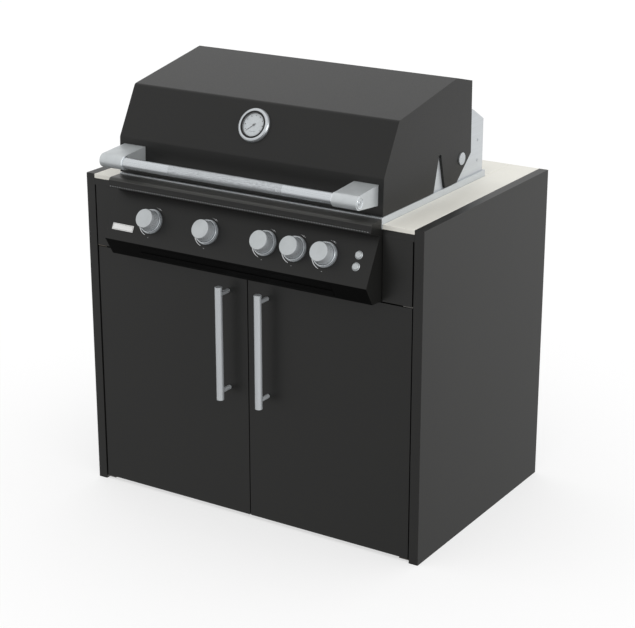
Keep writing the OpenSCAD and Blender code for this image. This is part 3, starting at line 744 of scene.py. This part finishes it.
class BARBECUE_OT_sheets(Operator):
    """Round the folded edges of the lid, the control panel, the rim and the hood"""

    bl_idname = "barbecue.sheets"
    bl_label = "Folded sheets"

    def execute(self, context):
        size = sizes()
        eased("lid_shell", "charcoal_enamel", size.sheet_edge, smooth_angle=22)
        shadow_depth, lip_depth, undercut_depth = 20 * MM, 14 * MM, 74 * MM
        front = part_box("filler_panel_right")[0].y - shadow_depth
        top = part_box("control_panel")[1].z

        def panel_painted_light_choice(normal, centre):
            if abs(normal.x) > 0.3 or centre.y > front:
                return 0
            # down-facing faces low on the panel get the near-black painted shade
            if normal.z < -0.3 and centre.z < top - undercut_depth:
                return 1
            # up-facing faces along the lip's top get the lighter painted light
            return 2 if normal.z > 0.45 and centre.z > top - lip_depth else 0

        eased(
            "control_panel",
            "charcoal_enamel",
            size.sheet_edge,
            smooth_angle=22,
            others=("black_enamel", "lip_enamel"),
            choose=panel_painted_light_choice,
        )
        eased(
            "drip_tray",
            "sooted_steel",
            size.sheet_edge,
            smooth_angle=22,
            others=("black_enamel",),
            # the drip tray's front gets the near-black painted shade
            choose=lambda normal, centre: int(centre.y < front),
        )
        for node in ("rim_frame", "rear_housing"):
            eased(node, "steel_brushed_across", size.sheet_edge)
        eased("hood_cheeks", "steel_brushed_deep", size.sheet_edge)
        return {"FINISHED"}


class BARBECUE_OT_door_handles(Operator):
    """Chamfer the door handles' bars"""

    bl_idname = "barbecue.door_handles"
    bl_label = "Door handles"

    def execute(self, context):
        for node in ("door_handle_left", "door_handle_right"):
            eased(node, "steel_brushed_upright", 0.9 * MM, smooth_angle=40, sharp=40)
        return {"FINISHED"}


class BARBECUE_OT_lid_handle(Operator):
    """Make the knurled handle tube, its end rings and the screws in its brackets"""

    bl_idname = "barbecue.lid_handle"
    bl_label = "Lid handle"

    def execute(self, context):
        size = sizes()
        low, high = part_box("lid_handle_bar")
        bracket_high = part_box("lid_handle_brackets")[1]
        centre = Vector((0, (low.y + high.y) / 2, (low.z + high.z) / 2))
        radius = (high.z - low.z) / 2
        lay = along(ACROSS, centre)
        half, grip = high.x, size.grip_length / 2
        border, fade_length = 2 * MM, 6 * MM
        rings = 2 * round(grip / (size.grip_pitch / 3))
        bm = bmesh.new()
        stations = [-grip + 2 * grip * i / rings for i in range(rings + 1)]
        wall = [(radius, x) for x in (-half, *stations, half)]
        profile = [(0, -half), *wall, (0, half)]
        made = lathe(bm, profile, size.grip_steps, lay)
        turns = round(FULL_TURN * radius / size.grip_pitch)
        for face in faces_of(made):
            middle = face.calc_center_median()
            on_wall = Vector((0, middle.y - centre.y, middle.z - centre.z)).length > radius / 2
            face.material_index = int(on_wall and abs(middle.x) < grip - border)
        for vert in made:
            out = Vector((0, vert.co.y - centre.y, vert.co.z - centre.z))
            if out.length < radius / 2 or abs(vert.co.x) > grip:
                continue
            angle = math.atan2(out.y, out.z)
            x = vert.co.x / size.grip_pitch * math.pi
            groove = abs(math.sin(x + angle * turns / 2)) * abs(math.sin(x - angle * turns / 2))
            fade = min(1.0, (grip - abs(vert.co.x)) / fade_length)
            vert.co -= out.normalized() * size.grip_depth * fade * (1 - groove)
        metals = ["steel_tube", "knurled_steel"]
        piece(bm, "handle_tube", metals, "lid", "lid_handle_bar", 50)

        eased("lid_handle_brackets", "bracket_aluminium", size.casting_edge, 3, smooth_angle=60)

        bm = bmesh.new()
        sleeve_x = bracket_high.x - size.bracket_width
        for side in (-1, 1):
            end = Vector((side * sleeve_x, centre.y, centre.z))
            sleeve = outline(radius, (0, 0), (3.3, 0), (3.3, 1.6), (2.3, 2.6), (0, 2.6), (0, 0))
            lathe(bm, sleeve, 64, along((-side, 0, 0), end))
            rim = Vector((side * bracket_high.x, centre.y, centre.z))
            bead = outline(radius, (-1.8, 0), (-0.2, 0), (-0.2, 0.8), (-0.8, 1.4), (-1.8, 1.0), (-1.8, 0))
            lathe(bm, bead, 64, along((side, 0, 0), rim))
        piece(bm, "handle_end_rings", "steel_polished", "lid", smooth_angle=35)

        bm = bmesh.new()
        head = outline(0, (0, 0.4), (2.6, 0.4), (2.9, 1.4), (5.2, 1.4), (6.0, 0.7), (6.0, -0.5), (0, -0.5))
        for side in (-1, 1):
            end = Vector((side * bracket_high.x, centre.y, centre.z))
            lathe(bm, head, 48, along((side, 0, 0), end))
        piece(bm, "handle_end_screws", "steel_turned", "lid", smooth_angle=30)
        return {"FINISHED"}


class BARBECUE_OT_thermometer(Operator):
    """Print the dial and make the needle's hub"""

    bl_idname = "barbecue.thermometer"
    bl_label = "Thermometer"

    def execute(self, context):
        base = gauge_frame()
        dial_top, card, ink = 4 * MM, 0.25 * MM, 0.12 * MM
        face_r, rim_r = 30.5 * MM, 36.4 * MM
        dot_r, tick_r, dash_y = 26 * MM, 28.6 * MM, -17 * MM
        bm = bmesh.new()
        face = shifted(base, 0, 0, dial_top)
        disc(bm, face_r, card, face, 72)
        piece(bm, "dial_disc", "dial_face", "lid")
        bm = bmesh.new()
        ring_strip(bm, face_r, rim_r, 0.6 * MM, face, steps=72)
        piece(bm, "dial_ring", "needle_black", "lid")
        inward = base.inverted()
        glass_top = max((inward @ vert.co).z for vert in NODES["thermometer_glass"].data.vertices)
        bm = bmesh.new()
        ring_strip(bm, face_r + 1.2 * MM, rim_r, 0.7 * MM, shifted(base, 0, 0, glass_top), steps=72)
        piece(bm, "glass_gasket", "black_recess", "lid")
        bm = bmesh.new()
        mark = shifted(base, 0, 0, dial_top + card)
        for step in range(-4, 5):
            angle = math.radians(step * 30)
            spot = shifted(mark, -dot_r * math.sin(angle), dot_r * math.cos(angle))
            disc(bm, (1.7 if step % 2 else 1.4) * MM, ink, spot, 12)
        for step in range(-24, 25):
            turned = mark @ Matrix.Rotation(math.radians(step * 5), 4, "Z")
            block(bm, (0.3 * MM, 1.4 * MM, ink), shifted(turned, 0, tick_r, ink / 2))
        for x in (-7, -3.5, 0, 3.5, 7):
            block(bm, (2.1 * MM, 1.1 * MM, ink), shifted(mark, x * MM, dash_y, ink / 2))
        piece(bm, "dial_marks", "needle_black", "lid")
        bm = bmesh.new()
        hub = outline(0, (0, 1.0), (1.6, 0.9), (2.3, 0.4), (2.3, 0))
        lathe(bm, hub, 24, shifted(base, 0, 0, dial_top + 1.9 * MM))
        piece(bm, "needle_hub", "needle_black", "needle", smooth_angle=40)
        return {"FINISHED"}


class BARBECUE_OT_control_face(Operator):
    """Add the row of perforations, the printed marks and the badge's border"""

    bl_idname = "barbecue.control_face"
    bl_label = "Control face"

    def execute(self, context):
        size = sizes()
        low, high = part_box("control_panel")
        first = knob_frame("1")
        panel = NODES["control_panel"].data
        surface = BVHTree.FromPolygons([v.co for v in panel.vertices], [p.vertices for p in panel.polygons])
        outward = first.col[2].to_3d()
        clear_of_lip = 60 * MM
        start = first @ Vector((0, size.hole_row, clear_of_lip))
        point, normal = surface.ray_cast(start, -outward)[:2]
        bm = bmesh.new()
        end_gaps = 14 * MM
        count = int((high.x - low.x - end_gaps) / size.hole_pitch)
        for i in range(2 * count + 1):
            x = i / 2 * size.hole_pitch - count / 2 * size.hole_pitch
            spot = frame_at((x, point.y, point.z), normal)
            radius = size.hole_size / 2
            # painted shade and painted highlight: dark discs stand in for the shade in the holes, and small
            # light dots for glints between them
            paint(disc(bm, radius if i % 2 else radius * 0.62, 0.3 * MM, spot, 10), i % 2)
        piece(bm, "lip_perforations", ["hole_edge", "black_recess"], "cabinet")

        bm = bmesh.new()
        radius, half_width, ink = size.arc_radius, 1.9 * MM, 0.15 * MM
        for which in KNOBS:
            spot = knob_frame(which)
            ring_strip(
                bm,
                radius - half_width,
                radius + half_width,
                ink,
                spot,
                math.radians(103),
                math.radians(60),
                24,
                0.3,
            )
            disc(bm, 0.8 * MM, ink, shifted(spot, 0, -43 * MM), 12)
            for turn, dot in ((-8, 0.7), (-15, 0.9), (-22, 1.5), (-29, 0.9)):
                mark = spot @ Matrix.Rotation(math.radians(turn), 4, "Z")
                disc(bm, dot * MM, ink, shifted(mark, 0, radius), 12)
        piece(bm, "printed_marks", "white_print", "cabinet")

        bm = bmesh.new()
        low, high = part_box("badge_plate")
        local = first.inverted() @ ((low + high) / 2)
        plate = shifted(first, local.x, local.y, 1.5 * MM)
        width, height = 64 * MM, 13.5 * MM
        for sign in (-1, 1):
            block(bm, (width, 0.5 * MM, 0.3 * MM), shifted(plate, 0, sign * height / 2))
            block(bm, (0.5 * MM, height, 0.3 * MM), shifted(plate, sign * width / 2, 0))
        piece(bm, "badge_border", "needle_black", "cabinet")
        return {"FINISHED"}


class BARBECUE_OT_knobs(Operator):
    """Give the knobs a polished side and a matt face, and add the pointer notch of each"""

    bl_idname = "barbecue.knobs"
    bl_label = "Knobs"

    def execute(self, context):
        for which in KNOBS:
            spot = knob_frame(which)
            outward = spot.col[2].to_3d()

            def knob_finish(normal, centre):
                return int(normal.dot(outward) > 0.8)

            matt = ("blasted_aluminium",)
            eased(f"knob_{which}", "knob_aluminium", 0.3 * MM, 2, 30, 40, matt, knob_finish)
            bm = bmesh.new()
            notch = shifted(spot, 0, 27.9 * MM, 14.5 * MM) @ Matrix.Rotation(math.radians(6), 4, "X")
            block(bm, (8.2 * MM, 1.2 * MM, 6.6 * MM), notch, 0.5 * MM)
            paint(block(bm, (5.6 * MM, 1.7 * MM, 4.2 * MM), notch, 0.5 * MM), 1)
            metals = ["steel_polished", "needle_black"]
            piece(bm, f"knob_pointer_{which}", metals, f"knob_{which}_body")
        return {"FINISHED"}


class BARBECUE_OT_buttons(Operator):
    """Add the collar round each push button"""

    bl_idname = "barbecue.buttons"
    bl_label = "Buttons"

    def execute(self, context):
        first = knob_frame("1")
        bm = bmesh.new()
        collar = outline(0, (8.95, 0), (8.95, 1.2), (9.6, 1.5), (10.8, 0.5), (11.0, 0), (8.95, 0))
        for node, row in (("ignition_button", 15 * MM), ("light_button", -15 * MM)):
            low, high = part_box(node)
            x = (low.x + high.x) / 2
            lathe(bm, collar, 40, shifted(first, x - first.translation.x, row))
        piece(bm, "button_collars", "blasted_aluminium", "cabinet", smooth_angle=30)
        return {"FINISHED"}


class BARBECUE_OT_cooking_space(Operator):
    """Add the burner ports, the slots in the flame tamers and the guard of the rear burner"""

    bl_idname = "barbecue.cooking_space"
    bl_label = "Cooking space"

    def execute(self, context):
        burner_low, burner_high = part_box("tube_burners")
        radius = (burner_high.z - burner_low.z) / 2
        middle_z = (burner_high.z + burner_low.z) / 2
        burners = [Vector(JOINTS[f"knob_{which}_turn"]["pos_m"]).x for which in KNOBS[:4]]
        bm = bmesh.new()
        lean, first_port, port_pitch = math.radians(62), 80 * MM, 9.5 * MM
        for x in burners:
            for side in (-1, 1):
                normal = Vector((side * math.sin(lean), 0, math.cos(lean)))
                for i in range(36):
                    y = burner_low.y + first_port + i * port_pitch
                    spot = along(normal, Vector((x, y, middle_z)) + normal * (radius - 0.15 * MM))
                    # painted shade: black discs stand in for the burner ports
                    disc(bm, 1.5 * MM, 0.3 * MM, spot, 8)
        piece(bm, "burner_ports", "black_recess", "cabinet")

        low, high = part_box("flame_tamers")
        sheet, run, first_slot, slot_pitch = 1.5 * MM, 62 * MM, 44 * MM, 45 * MM
        rise = high.z - low.z - sheet
        slope = math.atan2(rise, run)
        bm = bmesh.new()
        for x in burners:
            for side in (-1, 1):
                normal = Vector((side * math.sin(slope), 0, math.cos(slope)))
                for share in (0.35, 0.68):
                    for i in range(9):
                        y = low.y + first_slot + i * slot_pitch
                        at = Vector((x + side * run * share, y, high.z - rise * share)) + normal * 0.1 * MM
                        turn = frame_at(at, normal, Vector((0, 1, 0)))
                        # painted shade: black blocks stand in for the slots
                        block(bm, (24 * MM, 4 * MM, 0.5 * MM), turn, 0.2 * MM, 1)
        piece(bm, "tamer_slots", "black_recess", "cabinet")

        low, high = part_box("rear_burner")
        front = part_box("rear_housing")[0].y
        bm = bmesh.new()
        inset, bars, wire = 8 * MM, 42, 0.9 * MM
        upright_y, cross_y = front - 1.2 * MM, front - 2.4 * MM
        left, right, base, top = low.x + inset, high.x - inset, low.z + inset, high.z - inset
        for z in (base, top):
            rod(bm, (left, upright_y, z), (right, upright_y, z), 1.6 * MM, 10)
        for i in range(bars + 1):
            x = left + (right - left) * i / bars
            rod(bm, (x, upright_y, base), (x, upright_y, top), wire, 8)
        for share in (0.33, 0.67):
            z = base + (top - base) * share
            rod(bm, (left, cross_y, z), (right, cross_y, z), wire, 8)
        piece(bm, "rear_burner_guard", "steel_brushed_across", "cabinet", smooth_angle=40)
        eased("cooking_grates", "enamelled_iron", 1.3 * MM, 2)
        return {"FINISHED"}


class BARBECUE_OT_gas_train(Operator):
    """Add the union nuts between the manifold and the valves and the nut at the gas inlet"""

    bl_idname = "barbecue.gas_train"
    bl_label = "Gas train"

    def execute(self, context):
        bm = bmesh.new()
        for which in KNOBS:
            spot = knob_frame(which)
            for y, radius in ((-15.5, 10.5), (-20.0, 9.5)):
                lay = shifted(spot, 0, y * MM, -30 * MM) @ Matrix.Rotation(math.pi / 2, 4, "X")
                chamfer(bm, column(bm, radius * MM, 3.4 * MM, lay, 6), 0.5 * MM)
            for side in (-1, 1):
                head = shifted(spot, side * 9.5 * MM, 9.5 * MM, -10 * MM)
                chamfer(bm, disc(bm, 2.6 * MM, 1.6 * MM, head, 12), 0.4 * MM)
        inlet = Vector(MOUNTS["gas_inlet"]["pos_m"])
        length = MOUNTS["gas_inlet"]["dims"]["length_mm"] * MM
        lay = along((0, 1, 0), inlet - Vector((0, length / 2 + 4 * MM, 0)))
        chamfer(bm, column(bm, 14 * MM, 8 * MM, lay, 6), 0.9 * MM)
        piece(bm, "union_nuts", "gas_brass", "cabinet")
        return {"FINISHED"}


class BARBECUE_OT_cabinet_fittings(Operator):
    """Add the hose grommet, the back panel's screws, the doors' strike plates and the handle screws"""

    bl_idname = "barbecue.cabinet_fittings"
    bl_label = "Cabinet fittings"

    def execute(self, context):
        opening = MOUNTS["hose_opening"]
        radius = opening["dims"]["r_mm"] * MM
        low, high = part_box("back_panel")
        hole = Vector(opening["pos_m"])
        bm = bmesh.new()
        collar = outline(radius, (0, 0), (8, 0), (7, 1.6), (2, 2.6), (0, 1.8), (0, 0))
        for out, face in ((1, high.y), (-1, low.y)):
            lathe(bm, collar, 48, along((0, out, 0), (hole.x, face, hole.z)))
        piece(bm, "hose_grommet", "moulded_plastic", "cabinet", smooth_angle=35)

        bm = bmesh.new()
        inset, end_gap, rows = 9 * MM, 40 * MM, 5
        for x in (low.x + inset, (low.x + high.x) / 2, high.x - inset):
            for i in range(rows):
                z = low.z + end_gap + (high.z - low.z - 2 * end_gap) * i / (rows - 1)
                screw_head(bm, along((0, 1, 0), (x, high.y, z)), 4 * MM)
        piece(bm, "back_panel_screws", "steel_turned", "cabinet", smooth_angle=35)

        catch_low, catch_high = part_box("magnetic_catches")
        plate_inset, post_offset = 20 * MM, 136 * MM
        for side, which in ((-1, "left"), (1, "right")):
            door_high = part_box("door_" + which)[1]
            handle_low, handle_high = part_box("door_handle_" + which)
            bm = bmesh.new()
            plate_x = side * (catch_high.x - plate_inset)
            middle = Matrix.Translation((plate_x, door_high.y + 0.1 * MM, (catch_low.z + catch_high.z) / 2))
            block(bm, (36 * MM, 0.3 * MM, 14 * MM), middle)
            post_x = (handle_low.x + handle_high.x) / 2
            middle_z = (handle_low.z + handle_high.z) / 2
            for step in (-1, 1):
                spot = (post_x, door_high.y, middle_z + step * post_offset)
                screw_head(bm, along((0, 1, 0), spot), 5 * MM)
            name = f"door_fittings_{which}"
            piece(bm, name, "steel_turned", f"{which}_door", smooth_angle=35)
        return {"FINISHED"}


class BARBECUE_OT_rear_hood(Operator):
    """Add the vents and the screws on the back of the rear hood"""

    bl_idname = "barbecue.rear_hood"
    bl_label = "Rear hood"

    def execute(self, context):
        low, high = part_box("rear_housing")
        rim_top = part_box("rim_frame")[1].z
        back = high.y
        vents, first_row, row_pitch = 9, 96 * MM, 17 * MM
        bm = bmesh.new()
        for row in range(3):
            for i in range(vents):
                x = low.x + (high.x - low.x) * (i + 0.5) / vents
                spot = Matrix.Translation((x, back, rim_top + first_row + row * row_pitch))
                # painted shade: a black block stands in for each vent's slot
                paint(block(bm, (58 * MM, 0.6 * MM, 6 * MM), spot, 0.25 * MM, 1), 1)
                cowl = shifted(spot, 0, 1.6 * MM, 3.2 * MM) @ Matrix.Rotation(math.radians(-38), 4, "X")
                paint(block(bm, (60 * MM, 5.4 * MM, 1.0 * MM), cowl, 0.4 * MM, 1), 0)
        piece(bm, "hood_vents", ["steel_brushed_across", "black_recess"], "cabinet")
        bm = bmesh.new()
        end_gap, screws = 20 * MM, 6
        for i in range(screws):
            x = low.x + end_gap + (high.x - low.x - 2 * end_gap) * i / (screws - 1)
            screw_head(bm, along((0, 1, 0), (x, back, rim_top + 18 * MM)), 3.6 * MM)
        piece(bm, "hood_screws", "steel_turned", "cabinet", smooth_angle=35)
        return {"FINISHED"}


class BARBECUE_OT_stage(Operator):
    """Lay the floor, set the sky and the lights, and place the camera"""

    bl_idname = "barbecue.stage"
    bl_label = "Stage"

    def execute(self, context):
        stage = context.scene.barbecue_stage
        bm = bmesh.new()
        bmesh.ops.create_grid(bm, x_segments=1, y_segments=1, size=60)
        mesh = bpy.data.meshes.new("floor")
        bm.to_mesh(mesh)
        bm.free()
        floor = bpy.data.objects.new("floor", mesh)
        context.scene.collection.objects.link(floor)
        tree, shader = new_finish(
            "pale_floor",
            stage.floor,
            0.0,
            0.9,
            Specular_IOR_Level=0.0,
            Emission_Color=(1, 1, 1, 1),
            Emission_Strength=stage.floor_glow,
        )
        cloud = noise(tree, place(tree), 3, 2.0)
        tinted(tree, shader, cloud, shade(stage.floor, 0.995), stage.floor)
        mesh.materials.append(bpy.data.materials["pale_floor"])
        floor.visible_diffuse = False
        floor.visible_glossy = False
        floor.visible_shadow = False

        world = bpy.data.worlds.new("soft_sky")
        world.use_nodes = True
        tree = world.node_tree
        sky = next(node for node in tree.nodes if node.type == "BACKGROUND")
        coords = tree.nodes.new("ShaderNodeTexCoord")
        split = add(tree, "ShaderNodeSeparateXYZ", {"Vector": coords.outputs["Generated"]})
        ramp = add(tree, "ShaderNodeValToRGB", {"Fac": ranged(tree, split.outputs["Z"], -1, 1, 0, 1)})
        points = ramp.color_ramp.elements
        stops = ((0.0, stage.sky_low), (0.20, stage.sky_low), (0.36, stage.sky_side), (1.0, stage.sky_top))
        top = max(stage.sky_low, stage.sky_side, stage.sky_top)
        while len(points) < len(stops):
            points.new(0.5)
        for point, (where, value) in zip(points, stops):
            point.position = where
            point.color = (value / top, value / top, value / top, 1)
        tree.links.new(ramp.outputs["Color"], sky.inputs["Color"])
        sky.inputs["Strength"].default_value = top
        context.scene.world = world

        light = bpy.data.lights.new("key_light", "AREA")
        light.shape = "RECTANGLE"
        light.size = light.size_y = 4.0
        light.energy = stage.key_power
        lamp = bpy.data.objects.new("key_light", light)
        context.scene.collection.objects.link(lamp)
        lamp.location = Vector((1.0, -0.15, 0.35)) * 6.5
        lamp.rotation_euler = (Vector((0, 0, 0.6)) - lamp.location).to_track_quat("-Z", "Y").to_euler()
        unlit = bpy.data.collections.new("unlit_by_key")
        unlit.objects.link(floor)
        lamp.light_linking.receiver_collection = unlit
        unlit.collection_objects[0].light_linking.link_state = "EXCLUDE"

        camera = bpy.data.objects.new("camera", bpy.data.cameras.new("camera"))
        context.scene.collection.objects.link(camera)
        camera.data.lens = stage.lens
        camera.data.sensor_width = 36
        camera.data.clip_end = 200
        camera.location = stage.camera_at
        camera.rotation_euler = stage.camera_turn
        context.scene.camera = camera
        context.scene.view_settings.view_transform = "Standard"
        return {"FINISHED"}


OPERATORS = (
    BARBECUE_OT_finishes,
    BARBECUE_OT_boards,
    BARBECUE_OT_sheets,
    BARBECUE_OT_door_handles,
    BARBECUE_OT_lid_handle,
    BARBECUE_OT_thermometer,
    BARBECUE_OT_control_face,
    BARBECUE_OT_knobs,
    BARBECUE_OT_buttons,
    BARBECUE_OT_cooking_space,
    BARBECUE_OT_gas_train,
    BARBECUE_OT_cabinet_fittings,
    BARBECUE_OT_rear_hood,
    BARBECUE_OT_stage,
)


class BARBECUE_PT_panel(Panel):
    """Lists the settings and the steps that finish the barbecue"""

    bl_idname = "BARBECUE_PT_panel"
    bl_label = "Gas Barbecue"
    bl_space_type = "VIEW_3D"
    bl_region_type = "UI"
    bl_category = "Barbecue"

    def draw(self, context):
        for group in (
            context.scene.barbecue_finishes,
            context.scene.barbecue_sizes,
            context.scene.barbecue_stage,
        ):
            box = self.layout.box()
            for key in group.__annotations__:
                box.prop(group, key)
        for operator in OPERATORS:
            self.layout.operator(operator.bl_idname)


CLASSES = (BarbecueFinishes, BarbecueSizes, BarbecueStage, *OPERATORS, BARBECUE_PT_panel)


def register():
    for cls in CLASSES:
        bpy.utils.register_class(cls)
    bpy.types.Scene.barbecue_finishes = PointerProperty(type=BarbecueFinishes)
    bpy.types.Scene.barbecue_sizes = PointerProperty(type=BarbecueSizes)
    bpy.types.Scene.barbecue_stage = PointerProperty(type=BarbecueStage)


def unregister():
    del bpy.types.Scene.barbecue_stage
    del bpy.types.Scene.barbecue_sizes
    del bpy.types.Scene.barbecue_finishes
    for cls in reversed(CLASSES):
        bpy.utils.unregister_class(cls)


def main():
    register()
    for operator in OPERATORS:
        group, step = operator.bl_idname.split(".")
        getattr(getattr(bpy.ops, group), step)()


if __name__ == "__main__":
    main()
